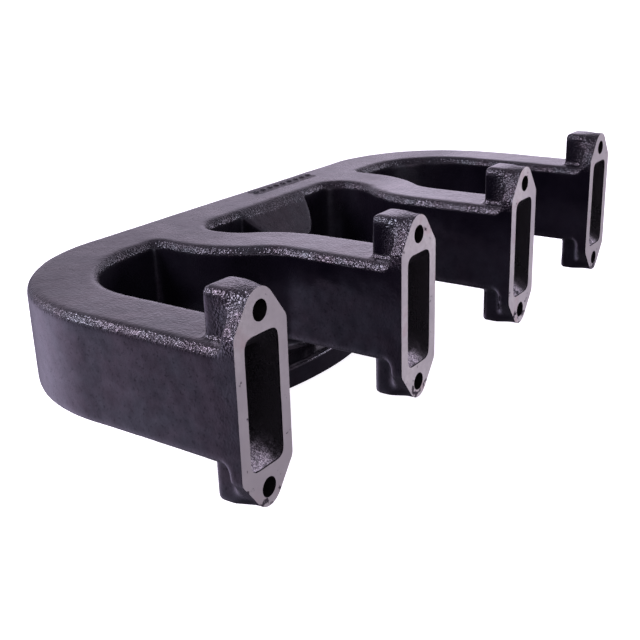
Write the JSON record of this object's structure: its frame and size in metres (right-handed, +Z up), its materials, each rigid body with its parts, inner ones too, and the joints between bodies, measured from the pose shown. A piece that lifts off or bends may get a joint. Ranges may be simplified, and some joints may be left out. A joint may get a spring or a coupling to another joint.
{
  "type": "exhaust manifold",
  "caption": "Log-type cast iron exhaust manifold: rectangular runners with stud-hole port flanges curve into a collector log with a round outlet flange below.",
  "frame": {"origin": "middle of the row of ports, on the machined face that meets the cylinder head, half way between the upper and the lower stud holes", "axes": "+X along the row of ports, -Y out of the ports into the cylinder head, +Z up, away from the outlet flange"},
  "size_m": [0.425, 0.21, 0.13],
  "materials": {
    "painted_iron": "black gloss paint over sand-cast iron",
    "machined_iron": "fine machined faces, painted black around them"
  },
  "bodies": {
    "root": {"port_flange_1": "machined_iron", "port_flange_2": "machined_iron", "port_flange_3": "machined_iron", "port_flange_4": "machined_iron", "upper_boss_1": "painted_iron", "upper_boss_2": "painted_iron", "upper_boss_3": "painted_iron", "upper_boss_4": "painted_iron", "lower_boss_1": "painted_iron", "lower_boss_2": "painted_iron", "lower_boss_3": "painted_iron", "lower_boss_4": "painted_iron", "runner_1": "painted_iron", "runner_2": "painted_iron", "runner_3": "painted_iron", "runner_4": "painted_iron", "runner_root_2": "painted_iron", "runner_root_3": "painted_iron", "end_bend_left": "painted_iron", "end_bend_right": "painted_iron", "collector_log": "painted_iron", "outlet_neck": "painted_iron", "outlet_flange": "machined_iron", "casting_mark": "painted_iron"}
  },
  "joints": []
}
